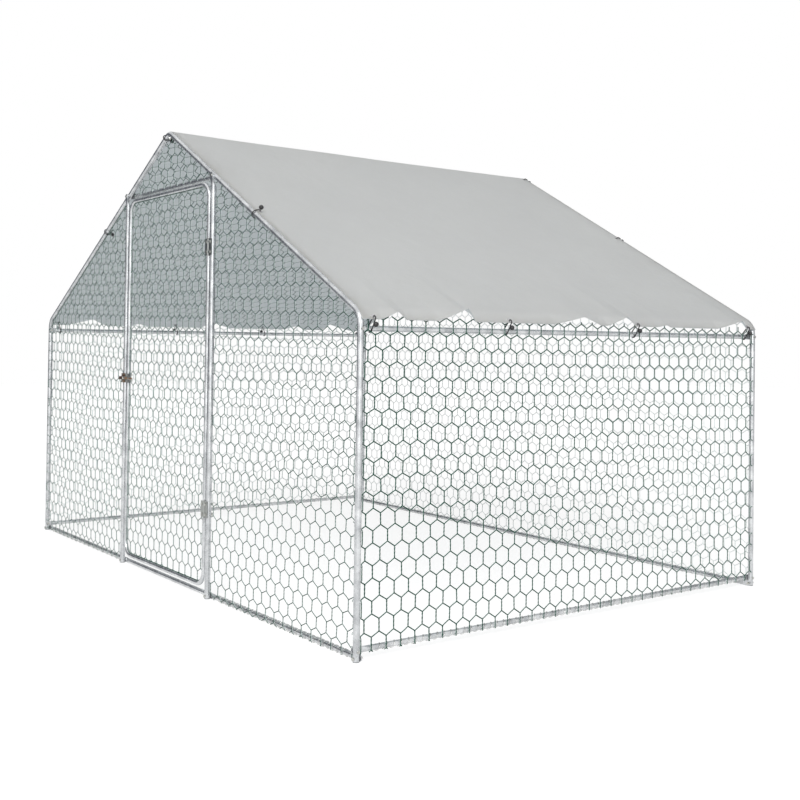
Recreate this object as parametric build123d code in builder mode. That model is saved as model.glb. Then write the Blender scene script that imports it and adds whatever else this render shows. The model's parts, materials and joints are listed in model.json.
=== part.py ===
from build123d import *
from math import acos, atan2, ceil, cos, degrees, hypot, radians, sin, sqrt, tan
import os

os.makedirs("parts", exist_ok=True)

# Walk-in metal chicken coop: a bolted frame of bent and swaged steel tube, walls of hex wire
# netting, a hinged door with a slide bolt in the front gable, and a tarp roof held by ball ties.
# Millimetres, +Z up. +X runs across the gables and -Y is the front, with the door.

# Overall size, between tube centre lines
coop_width = 3000
coop_length = 2000
eave_height = 1106
ridge_height = 1900

# Tube stock
post_od = 22
post_wall = 1.2
rail_od = 19
rail_wall = 1.0
elbow_radius = 60
swage_length = 50
swage_shoulder = 4
swage_gap = 0.15
seat_gap = 0.1

# Flattened tube ends
tab_thickness = 4
tab_width = 22
tab_length = 32
taper_length = 28
vent_d = 5
vent_distance = 40

# Bolts
bolt_d = 6
bolt_hole_gap = 0.2
thread_gap = 0.1
bolt_head_flats = 10
bolt_head_height = 4
nut_height = 5
bolt_tail = 3
ridge_screw_bite = 12

# Feet
foot_flange = 3
foot_plug_depth = 4.5
foot_plug_gap = 0.1

# Where the frame's tubes join
post_joint_height = 800
elbow_rafter_leg = 560
ridge_elbow_leg = 180
gable_rail_height = 11.2
side_rail_height = 33.6

# Door opening and door
door_post_spacing = 875
door_post_joint_height = 770
door_hinge_gap = 9.5
door_latch_gap = 18.5
door_top_drop = 28
door_bottom_rise = 36
door_corner_radius = 60
door_joint_height = 760

# Hinges
hinge_heights = (350, 1385)
hinge_length = 64
hinge_bolt_spacing = 40
leaf_thickness = 2.5
leaf_reach = 12
knuckle_od = 9
knuckle_gap = 0.5
pin_d = 5
pin_gap = 0.05
pin_head_d = 8
pin_head_height = 2

# Slide latch
latch_height = 840
latch_plate_height = 40
latch_plate_thickness = 2
latch_plate_overhang = 14
latch_plate_reach = 46
latch_bolt_spacing = 26
latch_rod_d = 8
latch_rod_length = 86
latch_rod_gap = 0.1
latch_rod_lift = 0.6
latch_guide_od = 13
latch_guide_length = 10
latch_travel = 25
latch_stem_d = 6
latch_stem_length = 7.85
latch_stem_clearance = 6.5
latch_knob_d = 10
keeper_width = 36
keeper_height = 42
keeper_thickness = 1.6
keeper_clear = 1.4
keeper_bolt_spacing = 29

# Wire netting, drawn at twice the pitch of the real mesh
net_pitch = 116
net_wire = 3
net_thickness = 1.5
net_gap = 0.3
net_least_gap = 0.1
net_corner_steps = 4
net_roll_width = 1000
ridge_net_drop = 38

# Tarp roof
tarp_thickness = 0.8
tarp_gap = 0.3
tarp_overhang = 3
tarp_hem_angle = 55
tarp_hem = 27

# Puckers of the tarp's lower edge: where each starts, peaks and ends along Y, and its height
right_puckers = (
    (-928, -877, -830, 24),
    (-700, -587, -542, 40),
    (-170, -35, 70, 26),
    (105, 191, 258, 31),
    (385, 430, 462, 8),
    (750, 890, 940, 32),
)
left_puckers = (
    (-910, -760, -690, 30),
    (-560, -500, -450, 14),
    (-130, -45, 60, 28),
    (420, 520, 570, 20),
    (690, 760, 900, 32),
)
pucker_cut = 8

# Ball ties
tie_ball_d = 18
tie_cord_d = 4
tie_gap = 0.3
tie_edge_radius = 7.5
tie_corner_inset = 44
right_tie_ys = (-380, 275)
left_tie_ys = (-290, 270)
tie_front_left_distance = 800
tie_front_right_distance = 885
tie_rear_distance = 807
tie_apex_distance = 40
tie_ball_share = 0.7
tie_ball_lean = 20
rafter_tie_offset = 9
rafter_tie_drop = 4.3
rafter_tie_radius = 10
grommet_hole_d = 12
grommet_bore_d = 9
grommet_flange_d = 18
grommet_flange = 0.8
grommet_gap = 0.1

# Derived frame geometry
half_width = coop_width / 2
gable_y = coop_length / 2
post_r = post_od / 2
rail_r = rail_od / 2
pitch = atan2(ridge_height - eave_height, half_width)
rafter_length = hypot(half_width, ridge_height - eave_height)
eave_tangent = elbow_radius * tan((radians(90) - pitch) / 2)
eave_tube_height = eave_height - eave_tangent - tab_width / 2 - seat_gap
rail_inset = post_r + seat_gap + tab_thickness / 2
apex_height = ridge_height - elbow_radius * (1 / cos(pitch) - 1)
bend_inner_r = elbow_radius - post_r
ridge_tab_drop = bend_inner_r - sqrt(bend_inner_r**2 - (tab_width / 2) ** 2)
ridge_tab_height = apex_height - post_r - ridge_tab_drop - seat_gap - tab_thickness / 2
ridge_tube_height = ridge_tab_height + rail_r - tab_thickness / 2
side_words = {-1: "left", 1: "right"}
end_words = {-1: "front", 1: "rear"}

# Derived door geometry: the door posts stand one flattened end in front of the gable frame
door_setback = tab_thickness + seat_gap
front_y = -gable_y
front_rail_y = front_y + rail_inset
door_post_x = door_post_spacing / 2
door_post_y = front_y - door_setback
header_height = ridge_height - door_post_x * tan(pitch)
header_y = front_y + post_r + seat_gap + rail_r
header_shift = tab_thickness / 2 - rail_r
door_y = door_post_y - (post_r - rail_r)
door_front_y = door_y - rail_r
hinge_stile_x = door_post_x - post_r - door_hinge_gap - rail_r
latch_stile_x = -door_post_x + post_r + door_latch_gap + rail_r
door_top = header_height - door_top_drop
door_bottom = gable_rail_height + door_bottom_rise
pin_x = door_post_x - post_r - door_hinge_gap / 2
pin_y = door_front_y - seat_gap - leaf_thickness / 2

# Bolts are (centre, way the head faces, centre to head seat, centre to nut seat)
one_tab = post_r + 2 * seat_gap + tab_thickness
two_tabs = one_tab + seat_gap + tab_thickness
OUT_FRONT = Vector(0, -1, 0)


def gable_rail_bolt(side, end):
    centre = Vector(side * half_width, end * gable_y, gable_rail_height)
    return centre, Vector(0, end, 0), post_r + seat_gap, one_tab


def side_rail_bolt(side, end):
    centre = Vector(side * half_width, end * gable_y, side_rail_height)
    return centre, Vector(side, 0, 0), post_r + seat_gap, one_tab


def eave_bolt(side, end):
    centre = Vector(side * half_width, end * gable_y, eave_tube_height)
    return centre, Vector(side, 0, 0), post_r + seat_gap, one_tab


def sill_bolt(side):
    centre = Vector(side * door_post_x, door_post_y, gable_rail_height)
    return centre, OUT_FRONT, post_r + seat_gap, two_tabs


def header_bolt(side):
    centre = Vector(side * door_post_x, front_y, header_height)
    return centre, OUT_FRONT, one_tab, one_tab


def tube_bolts(tube_x, tube_y, tube_r, heights, plate):
    """Bolts through a plate on the front of an upright tube."""
    bolts = []
    for height in heights:
        head_seat = tube_r + 2 * seat_gap + plate
        bolts.append((Vector(tube_x, tube_y, height), OUT_FRONT, head_seat, tube_r + seat_gap))
    return bolts


def spaced(centre, spacing):
    return (centre - spacing / 2, centre + spacing / 2)


hinge_bolt_heights = [z for height in hinge_heights for z in spaced(height, hinge_bolt_spacing)]
latch_bolt_heights = spaced(latch_height, latch_bolt_spacing)
keeper_bolt_heights = spaced(latch_height, keeper_bolt_spacing)
post_hinge_bolts = tube_bolts(door_post_x, door_post_y, post_r, hinge_bolt_heights, leaf_thickness)
door_hinge_bolts = tube_bolts(hinge_stile_x, door_y, rail_r, hinge_bolt_heights, leaf_thickness)
keeper_bolts = tube_bolts(-door_post_x, door_post_y, post_r, keeper_bolt_heights, keeper_thickness)
latch_bolts = tube_bolts(latch_stile_x, door_y, rail_r, latch_bolt_heights, latch_plate_thickness)


def save(piece, name):
    piece.part.label = name
    export_step(piece.part, f"parts/{name}.step")


def slope_point(side, distance, lift=0.0):
    """X and Z of a point down one slope from the ridge, lifted square to the slope."""
    x = side * (distance * cos(pitch) + lift * sin(pitch))
    return x, ridge_height - distance * sin(pitch) + lift * cos(pitch)


def slope_plane(side, distance, y, lift=0.0):
    """Plane on one slope: its x runs along +Y and its normal stands off the roof."""
    x, z = slope_point(side, distance, lift)
    normal = (side * sin(pitch), 0, cos(pitch))
    return Plane(origin=(x, y, z), x_dir=(0, 1, 0), z_dir=normal)


def add_tube(start, end, od, wall):
    axis = end - start
    with BuildSketch(Plane(origin=start, z_dir=axis)) as section:
        Circle(od / 2)
        Circle(od / 2 - wall, mode=Mode.SUBTRACT)
    extrude(section.sketch, amount=axis.length)


def add_swage(point, axis, od, wall):
    """Shoulder and reduced neck that plugs into the next tube's end."""
    neck_r = od / 2 - wall - swage_gap
    bore_r = neck_r - wall
    with BuildSketch(Plane(origin=point, z_dir=axis)) as shoulder:
        Circle(od / 2)
        Circle(bore_r, mode=Mode.SUBTRACT)
    extrude(shoulder.sketch, amount=-swage_shoulder)
    with BuildSketch(Plane(origin=point, z_dir=axis)) as neck:
        Circle(neck_r)
        Circle(bore_r, mode=Mode.SUBTRACT)
    extrude(neck.sketch, amount=swage_length)


def add_flat_end(bolt_point, axis, normal, od, shift=0.0):
    """Flattened, round-nosed end bolted at a point on the tube's axis; shift moves the flat."""
    across = axis.cross(normal)
    flat_start = bolt_point - axis * (tab_length / 2)
    with BuildSketch(Plane(origin=flat_start - axis * taper_length, x_dir=across, z_dir=axis)) as round_end:
        Circle(od / 2)
    with BuildSketch(Plane(origin=flat_start + normal * shift, x_dir=across, z_dir=axis)) as flat_end:
        Rectangle(tab_width, tab_thickness)
    loft([round_end.sketch.face(), flat_end.sketch.face()])
    with BuildSketch(Plane(origin=bolt_point + normal * shift, x_dir=axis, z_dir=normal)) as nose:
        with Locations((-tab_length / 4, 0)):
            Rectangle(tab_length / 2, tab_width)
        Circle(tab_width / 2)
    extrude(nose.sketch, amount=tab_thickness / 2, both=True)


def flat_end_reach(bolt_point, axis):
    """Where the round tube stops short of a flattened end."""
    return bolt_point - axis * (tab_length / 2 + taper_length)


def cut_bolt_holes(bolts):
    for centre, outward, head_seat, nut_seat in bolts:
        with BuildSketch(Plane(origin=centre, z_dir=outward)) as hole:
            Circle(bolt_d / 2 + bolt_hole_gap)
        extrude(hole.sketch, amount=max(head_seat, nut_seat) + post_r, both=True, mode=Mode.SUBTRACT)


def add_bolt(centre, outward, head_seat, shank_end):
    head_plane = Plane(origin=centre + outward * head_seat, z_dir=outward)
    with BuildSketch(head_plane) as head:
        RegularPolygon(bolt_head_flats / 2, 6, major_radius=False)
    extrude(head.sketch, amount=bolt_head_height)
    with BuildSketch(head_plane) as shank:
        Circle(bolt_d / 2)
    extrude(shank.sketch, amount=-(head_seat + shank_end))


def add_bolt_and_nut(centre, outward, head_seat, nut_seat):
    add_bolt(centre, outward, head_seat, nut_seat + nut_height + bolt_tail)
    with BuildSketch(Plane(origin=centre - outward * nut_seat, z_dir=-outward)) as nut:
        RegularPolygon(bolt_head_flats / 2, 6, major_radius=False)
        Circle(bolt_d / 2 + thread_gap, mode=Mode.SUBTRACT)
    extrude(nut.sketch, amount=nut_height)


# Corner posts, eave elbows and rafters of the two gable frames
for end in (-1, 1):
    y = end * gable_y
    for side in (-1, 1):
        place = f"{end_words[end]}_{side_words[side]}"
        foot = Vector(side * half_width, y, foot_flange)
        post_top = Vector(side * half_width, y, post_joint_height)
        with BuildPart() as corner_post:
            add_tube(foot, post_top, post_od, post_wall)
            cut_bolt_holes([gable_rail_bolt(side, end), side_rail_bolt(side, end)])
        save(corner_post, f"corner_post_{place}")

        rafter_foot = slope_point(side, rafter_length - elbow_rafter_leg)
        up_slope = Vector(-side * cos(pitch), 0, sin(pitch))
        with BuildPart() as eave_elbow:
            with BuildLine(Plane.XZ.offset(-y)) as elbow_path:
                FilletPolyline(
                    (side * half_width, post_joint_height),
                    (side * half_width, eave_height),
                    rafter_foot,
                    radius=elbow_radius,
                )
            with BuildSketch(Plane(origin=post_top)) as elbow_section:
                Circle(post_r)
                Circle(post_r - post_wall, mode=Mode.SUBTRACT)
            sweep(elbow_section.sketch, path=elbow_path.line)
            add_swage(post_top, Vector(0, 0, -1), post_od, post_wall)
            add_swage(Vector(rafter_foot[0], y, rafter_foot[1]), up_slope, post_od, post_wall)
            cut_bolt_holes([eave_bolt(side, end)])
        save(eave_elbow, f"eave_elbow_{place}")

        rafter_head = slope_point(side, ridge_elbow_leg)
        with BuildPart() as rafter:
            add_tube(
                Vector(rafter_foot[0], y, rafter_foot[1]),
                Vector(rafter_head[0], y, rafter_head[1]),
                post_od,
                post_wall,
            )
            if end < 0:
                cut_bolt_holes([header_bolt(side)])
        save(rafter, f"rafter_{place}")

    # Bent tube at the top of each gable, with the ridge screw's hole underneath
    left_head = slope_point(-1, ridge_elbow_leg)
    right_head = slope_point(1, ridge_elbow_leg)
    with BuildPart() as ridge_elbow:
        with BuildLine(Plane.XZ.offset(-y)) as ridge_path:
            FilletPolyline(left_head, (0, ridge_height), right_head, radius=elbow_radius)
        left_start = Vector(left_head[0], y, left_head[1])
        right_start = Vector(right_head[0], y, right_head[1])
        with BuildSketch(Plane(origin=left_start, z_dir=(cos(pitch), 0, sin(pitch)))) as ridge_section:
            Circle(post_r)
            Circle(post_r - post_wall, mode=Mode.SUBTRACT)
        sweep(ridge_section.sketch, path=ridge_path.line)
        add_swage(left_start, Vector(-cos(pitch), 0, -sin(pitch)), post_od, post_wall)
        add_swage(right_start, Vector(cos(pitch), 0, -sin(pitch)), post_od, post_wall)
        with BuildSketch(Plane(origin=(0, y, apex_height))) as screw_hole:
            Circle(bolt_d / 2 + bolt_hole_gap)
        extrude(screw_hole.sketch, amount=-post_od, mode=Mode.SUBTRACT)
    save(ridge_elbow, f"ridge_elbow_{end_words[end]}")

# Ridge, eave and side rail tubes: two swaged lengths from gable to gable
runs = [("ridge_tube", 0, ridge_tube_height, Vector(0, 0, 1), tab_thickness / 2 - rail_r, None)]
ridge_screw_seat = apex_height - ridge_tab_height + tab_thickness / 2 + seat_gap
for side in (-1, 1):
    inner_x = side * (half_width - rail_inset)
    facing = Vector(side, 0, 0)
    runs.append((f"eave_tube_{side_words[side]}", inner_x, eave_tube_height, facing, 0, eave_bolt))
    runs.append((f"side_rail_{side_words[side]}", inner_x, side_rail_height, facing, 0, side_rail_bolt))

for name, run_x, run_z, flat_normal, flat_shift, bolt in runs:
    for end in (-1, 1):
        outward = Vector(0, end, 0)
        bolt_point = Vector(run_x, end * gable_y, run_z)
        middle = Vector(run_x, 0, run_z)
        with BuildPart() as run_tube:
            add_tube(middle, flat_end_reach(bolt_point, outward), rail_od, rail_wall)
            add_flat_end(bolt_point, outward, flat_normal, rail_od, flat_shift)
            if end < 0:
                add_swage(middle, -outward, rail_od, rail_wall)
            if bolt:
                cut_bolt_holes([bolt(1 if run_x > 0 else -1, end)])
            else:
                with BuildSketch(Plane(origin=(0, end * gable_y, ridge_tab_height))) as screw_hole:
                    Circle(bolt_d / 2 + bolt_hole_gap)
                extrude(screw_hole.sketch, amount=tab_thickness, both=True, mode=Mode.SUBTRACT)
        save(run_tube, f"{name}_{end_words[end]}")

# Bottom rails of the front gable, one each side of the doorway, the sill across it and the header
front_spans = [
    ("front_rail_left", -half_width, -door_post_x, 0, -door_setback),
    ("front_sill", -door_post_x, door_post_x, 0, 0),
    ("front_rail_right", door_post_x, half_width, -door_setback, 0),
    ("door_header", -door_post_x, door_post_x, header_shift, header_shift),
]
for name, low_x, high_x, low_shift, high_shift in front_spans:
    is_header = name == "door_header"
    span_z = header_height if is_header else gable_rail_height
    span_y = header_y if is_header else front_rail_y
    low_point = Vector(low_x, span_y, span_z)
    high_point = Vector(high_x, span_y, span_z)
    along = Vector(1, 0, 0)
    with BuildPart() as front_rail:
        add_tube(flat_end_reach(low_point, -along), flat_end_reach(high_point, along), rail_od, rail_wall)
        add_flat_end(low_point, -along, Vector(0, 1, 0), rail_od, low_shift)
        add_flat_end(high_point, along, Vector(0, 1, 0), rail_od, high_shift)
        for point in (low_point, high_point):
            with BuildSketch(Plane(origin=point, z_dir=OUT_FRONT)) as bolt_hole:
                Circle(bolt_d / 2 + bolt_hole_gap)
            extrude(bolt_hole.sketch, amount=rail_od, both=True, mode=Mode.SUBTRACT)
        vent = flat_end_reach(low_point, -along) + along * vent_distance
        with BuildSketch(Plane(origin=vent)) as vent_hole:
            Circle(vent_d / 2)
        extrude(vent_hole.sketch, amount=-rail_od, mode=Mode.SUBTRACT)
    save(front_rail, name)

# Bottom rail of the rear gable, in three swaged lengths
rear_rail_y = gable_y - rail_inset
rear_joints = {-1: Vector(-door_post_x, rear_rail_y, gable_rail_height)}
rear_joints[1] = Vector(door_post_x, rear_rail_y, gable_rail_height)
for side in (-1, 1):
    outward = Vector(side, 0, 0)
    corner = Vector(side * half_width, rear_rail_y, gable_rail_height)
    with BuildPart() as rear_rail:
        add_tube(rear_joints[side], flat_end_reach(corner, outward), rail_od, rail_wall)
        add_flat_end(corner, outward, Vector(0, 1, 0), rail_od)
        cut_bolt_holes([gable_rail_bolt(side, 1)])
    save(rear_rail, f"rear_rail_{side_words[side]}")

with BuildPart() as rear_rail_middle:
    add_tube(rear_joints[-1], rear_joints[1], rail_od, rail_wall)
    add_swage(rear_joints[-1], Vector(-1, 0, 0), rail_od, rail_wall)
    add_swage(rear_joints[1], Vector(1, 0, 0), rail_od, rail_wall)
save(rear_rail_middle, "rear_rail_middle")

# Door posts in two swaged lengths, the upper one flattened in front of the rafter
for side in (-1, 1):
    post_x = side * door_post_x
    joint = Vector(post_x, door_post_y, door_post_joint_height)
    hardware = post_hinge_bolts if side > 0 else keeper_bolts
    upper_hardware = [bolt for bolt in hardware if bolt[0].Z > door_post_joint_height]
    lower_hardware = [bolt for bolt in hardware if bolt[0].Z <= door_post_joint_height]
    with BuildPart() as door_post_lower:
        add_tube(Vector(post_x, door_post_y, foot_flange), joint, post_od, post_wall)
        cut_bolt_holes([sill_bolt(side)] + lower_hardware)
    save(door_post_lower, f"door_post_{side_words[side]}_lower")

    top_bolt = Vector(post_x, door_post_y, header_height)
    upward = Vector(0, 0, 1)
    with BuildPart() as door_post_upper:
        add_tube(joint, flat_end_reach(top_bolt, upward), post_od, post_wall)
        add_swage(joint, -upward, post_od, post_wall)
        add_flat_end(top_bolt, upward, OUT_FRONT, post_od, post_r - tab_thickness / 2)
        cut_bolt_holes([header_bolt(side)] + upper_hardware)
    save(door_post_upper, f"door_post_{side_words[side]}_upper")

# Plastic feet plugged into the six posts
post_feet = [(side * half_width, end * gable_y) for end in (-1, 1) for side in (-1, 1)]
post_feet += [(-door_post_x, door_post_y), (door_post_x, door_post_y)]
with BuildPart() as foot_plugs:
    with BuildSketch() as flanges:
        with Locations(*post_feet):
            Circle(post_r)
    extrude(flanges.sketch, amount=foot_flange)
    with BuildSketch(Plane.XY.offset(foot_flange)) as plugs:
        with Locations(*post_feet):
            Circle(post_r - post_wall - foot_plug_gap)
    extrude(plugs.sketch, amount=foot_plug_depth)
save(foot_plugs, "foot_plugs")

# Fasteners of the frame: bolts with nuts, and the two ridge screws
frame_bolts = [sill_bolt(-1), sill_bolt(1), header_bolt(-1), header_bolt(1)]
frame_bolts += post_hinge_bolts + keeper_bolts
for side in (-1, 1):
    for end in (-1, 1):
        frame_bolts += [gable_rail_bolt(side, end), side_rail_bolt(side, end), eave_bolt(side, end)]
with BuildPart() as frame_fasteners:
    for bolt in frame_bolts:
        add_bolt_and_nut(*bolt)
    for end in (-1, 1):
        add_bolt(
            Vector(0, end * gable_y, apex_height),
            Vector(0, 0, -1),
            ridge_screw_seat,
            ridge_screw_bite - ridge_screw_seat,
        )
save(frame_fasteners, "frame_fasteners")

with BuildPart() as door_fasteners:
    for bolt in door_hinge_bolts + latch_bolts:
        add_bolt_and_nut(*bolt)
save(door_fasteners, "door_fasteners")

# Door frame: two bent tubes that plug together halfway up the stiles
stile_joints = [Vector(x, door_y, door_joint_height) for x in (latch_stile_x, hinge_stile_x)]
door_holes = door_hinge_bolts + latch_bolts
for name, bar_height in (("door_frame_lower", door_bottom), ("door_frame_upper", door_top)):
    with BuildPart() as door_frame:
        with BuildLine(Plane.XZ.offset(-door_y)) as door_path:
            FilletPolyline(
                (latch_stile_x, door_joint_height),
                (latch_stile_x, bar_height),
                (hinge_stile_x, bar_height),
                (hinge_stile_x, door_joint_height),
                radius=door_corner_radius,
            )
        with BuildSketch(Plane(origin=stile_joints[0])) as door_section:
            Circle(rail_r)
            Circle(rail_r - rail_wall, mode=Mode.SUBTRACT)
        sweep(door_section.sketch, path=door_path.line)
        if bar_height > door_joint_height:
            for joint in stile_joints:
                add_swage(joint, Vector(0, 0, -1), rail_od, rail_wall)
        above = bar_height > door_joint_height
        cut_bolt_holes([bolt for bolt in door_holes if (bolt[0].Z > door_joint_height) == above])
    save(door_frame, name)

# Hinges: each leaf is bolted to the front of its tube, and the post's leaf carries two knuckles
knuckle_length = (hinge_length - 2 * knuckle_gap) / 3
knuckle_step = knuckle_length + knuckle_gap


def add_hinge_leaf(height, tube_x, side, knuckle_heights):
    near_x = pin_x + side * (knuckle_od / 2 + knuckle_gap)
    far_x = tube_x + side * leaf_reach
    with Locations(((near_x + far_x) / 2, pin_y, height)):
        Box(abs(far_x - near_x), leaf_thickness, hinge_length)
    for knuckle_height in knuckle_heights:
        with Locations((pin_x, pin_y, knuckle_height)):
            Cylinder(knuckle_od / 2, knuckle_length)
        with Locations(((pin_x + near_x) / 2, pin_y, knuckle_height)):
            Box(abs(near_x - pin_x), leaf_thickness, knuckle_length)
    with Locations((pin_x, pin_y, height)):
        Cylinder(pin_d / 2 + pin_gap, hinge_length, mode=Mode.SUBTRACT)


with BuildPart() as hinge_post_leaves:
    for height in hinge_heights:
        add_hinge_leaf(height, door_post_x, 1, (height - knuckle_step, height + knuckle_step))
    cut_bolt_holes(post_hinge_bolts)
save(hinge_post_leaves, "hinge_post_leaves")

with BuildPart() as hinge_door_leaves:
    for height in hinge_heights:
        add_hinge_leaf(height, hinge_stile_x, -1, (height,))
    cut_bolt_holes(door_hinge_bolts)
save(hinge_door_leaves, "hinge_door_leaves")

with BuildPart() as hinge_pins:
    for height in hinge_heights:
        pin_end = hinge_length / 2 + knuckle_gap
        with Locations((pin_x, pin_y, height)):
            Cylinder(pin_d / 2, 2 * pin_end)
        for end in (-1, 1):
            with Locations((pin_x, pin_y, height + end * (pin_end + pin_head_height / 2))):
                Cylinder(pin_head_d / 2, pin_head_height)
save(hinge_pins, "hinge_pins")

# Slide latch: a plate with two guides on the door, the rod in them, and a strap keeper on the post
plate_front_y = door_front_y - seat_gap - latch_plate_thickness
rod_y = plate_front_y - latch_rod_lift - latch_rod_d / 2
plate_left = latch_stile_x - latch_plate_overhang
plate_right = latch_stile_x + latch_plate_reach
guide_centres = (plate_left + latch_guide_length / 2, plate_right - latch_guide_length / 2)
along_x = (0, 90, 0)
plate_middle = ((plate_left + plate_right) / 2, plate_front_y + latch_plate_thickness / 2, latch_height)
with BuildPart() as latch_plate:
    with Locations(plate_middle):
        Box(plate_right - plate_left, latch_plate_thickness, latch_plate_height)
    for guide_x in guide_centres:
        with Locations((guide_x, rod_y, latch_height)):
            Cylinder(latch_guide_od / 2, latch_guide_length, rotation=along_x)
    with Locations((latch_stile_x, rod_y, latch_height)):
        Cylinder(
            latch_rod_d / 2 + latch_rod_gap,
            3 * latch_plate_reach,
            rotation=along_x,
            mode=Mode.SUBTRACT,
        )
    cut_bolt_holes(latch_bolts)
save(latch_plate, "latch_plate")

rod_tip = plate_left + seat_gap
stem_x = guide_centres[1] - latch_guide_length / 2 - latch_stem_clearance
with BuildPart() as latch_bolt:
    with Locations((rod_tip + latch_rod_length / 2, rod_y, latch_height)):
        Cylinder(latch_rod_d / 2, latch_rod_length, rotation=along_x)
    with BuildSketch(Plane(origin=(stem_x, rod_y, latch_height), z_dir=OUT_FRONT)) as stem:
        Circle(latch_stem_d / 2)
    extrude(stem.sketch, amount=latch_stem_length)
    with Locations((stem_x, rod_y - latch_stem_length, latch_height)):
        Sphere(latch_knob_d / 2)
save(latch_bolt, "latch_bolt")

keeper_back = door_post_y - post_r - seat_gap
keeper_face = keeper_back - keeper_thickness
bridge_inner = rod_y - latch_rod_d / 2 - keeper_clear
bridge_outer = bridge_inner - keeper_thickness
leg_inner = latch_rod_d / 2 + keeper_clear
leg_outer = leg_inner + keeper_thickness
upper_half = [
    (bridge_inner, leg_inner),
    (keeper_back, leg_inner),
    (keeper_back, keeper_height / 2),
    (keeper_face, keeper_height / 2),
    (keeper_face, leg_outer),
    (bridge_outer, leg_outer),
]
with BuildPart() as latch_keeper:
    with BuildSketch(Plane.YZ.offset(-door_post_x)) as strap:
        with BuildLine():
            points = [(y, latch_height + z) for y, z in upper_half]
            points += [(y, latch_height - z) for y, z in reversed(upper_half)]
            Polyline(*points, close=True)
        make_face()
    extrude(strap.sketch, amount=keeper_width / 2, both=True)
    cut_bolt_holes(keeper_bolts)
save(latch_keeper, "latch_keeper")

# The tarp follows the eave elbows' bend, then hangs straight down its hem
tarp_lift = post_r + tarp_gap + tarp_thickness / 2
hem_angle = radians(tarp_hem_angle)
hem_hole = tarp_hem - grommet_flange_d / 2 - tarp_overhang
corner_tie_y = gable_y - tie_corner_inset
eave_tie_ys = {
    -1: (-corner_tie_y, *left_tie_ys, corner_tie_y),
    1: (-corner_tie_y, *right_tie_ys, corner_tie_y),
}
cord_r = tie_cord_d / 2
eave_loop_r = rail_r + tie_gap + cord_r
rafter_loop_r = post_r + tarp_gap + tarp_thickness + tie_gap + cord_r


def hem_reach(lift):
    return (elbow_radius + lift) * tan((hem_angle - pitch) / 2)


def hem_corner(side, lift):
    """Where the slope and the hem would meet without the bend between them."""
    return Vector(*slope_point(side, rafter_length - eave_tangent + hem_reach(lift), lift))


def hem_point(side, distance, lift):
    """X and Z of a point down the hem from the end of its bend."""
    down = Vector(side * cos(hem_angle), -sin(hem_angle))
    return hem_corner(side, lift) + down * (hem_reach(lift) + distance)


def hem_plane(side, distance, y):
    """Plane on the hem: its x runs along +Y and its normal faces out."""
    point = hem_point(side, distance, tarp_lift)
    normal = (side * sin(hem_angle), 0, cos(hem_angle))
    return Plane(origin=(point.X, y, point.Y), x_dir=(0, 1, 0), z_dir=normal)


def belt_tangents(first, first_r, second, second_r):
    """Tangent points of the outer belt round two circles, as near and far pairs."""
    span = second - first
    along = span.normalized()
    across = Vector(-along.Y, along.X)
    lean = (first_r - second_r) / span.length
    square = sqrt(1 - lean * lean)
    upper = along * lean + across * square
    lower = along * lean - across * square
    first_pair = (first + upper * first_r, first + lower * first_r)
    second_pair = (second + upper * second_r, second + lower * second_r)
    return first_pair[0], second_pair[0], second_pair[1], first_pair[1]


def add_belt(plane, first, first_r, second, second_r):
    """Elastic cord bent round two circles in a plane: two straight runs and two bends."""
    near_up, far_up, far_low, near_low = belt_tangents(first, first_r, second, second_r)
    wrap = 2 * degrees(acos((first_r - second_r) / (second - first).length))
    halves = ((near_up, far_up, second, wrap), (far_low, near_low, first, 360 - wrap))
    for line_start, line_end, centre, bend_angle in halves:
        start = plane.from_local_coords(line_start)
        bend_start = plane.from_local_coords(line_end)
        run = bend_start - start
        with BuildSketch(Plane(origin=start, z_dir=run)) as run_section:
            Circle(cord_r)
        extrude(run_section.sketch, amount=run.length)
        with BuildSketch(Plane(origin=bend_start, z_dir=run)) as bend_section:
            Circle(cord_r)
        bend_axis = Axis(plane.from_local_coords(centre), -plane.z_dir)
        revolve(bend_section.sketch, axis=bend_axis, revolution_arc=bend_angle)


# Ball ties: round the eave tube and over the hem, or round a rafter and through the tarp
eave_ties = []
for side in (-1, 1):
    tube = Vector(side * (half_width - rail_inset), eave_tube_height)
    edge = hem_point(side, hem_hole + tie_edge_radius, tarp_lift)
    pair_up, pair_far, far_low, near_low = belt_tangents(tube, eave_loop_r, edge, tie_edge_radius)
    outer = (near_low, far_low) if side > 0 else (pair_up, pair_far)
    outer_run = (outer[1] - outer[0]).normalized()
    outward = Vector(outer_run.Y, -outer_run.X) * side
    ball = outer[0] + (outer[1] - outer[0]) * tie_ball_share
    ball = ball + outward * (cord_r + tie_gap + tie_ball_d / 2)
    for y in eave_tie_ys[side]:
        eave_ties.append((side, y, tube, edge, Vector(ball.X, y, ball.Y)))

rafter_ties = [
    (-1, tie_front_left_distance, -1),
    (-1, tie_apex_distance, -1),
    (1, tie_front_right_distance, -1),
    (-1, tie_rear_distance, 1),
    (1, tie_apex_distance, 1),
    (1, tie_rear_distance, 1),
]
tarp_circle = Vector(rafter_tie_offset, tarp_lift - rafter_tie_drop)
rafter_hole_inset = rafter_tie_offset + sqrt(rafter_tie_radius**2 - rafter_tie_drop**2)


def rafter_tie_plane(side, distance, end):
    """Plane across a rafter: its x points into the coop and its y stands off the roof."""
    x, z = slope_point(side, distance)
    inward = Vector(0, -end, 0)
    up = Vector(side * sin(pitch), 0, cos(pitch))
    return Plane(origin=(x, end * gable_y, z), x_dir=inward, z_dir=inward.cross(up))


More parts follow.
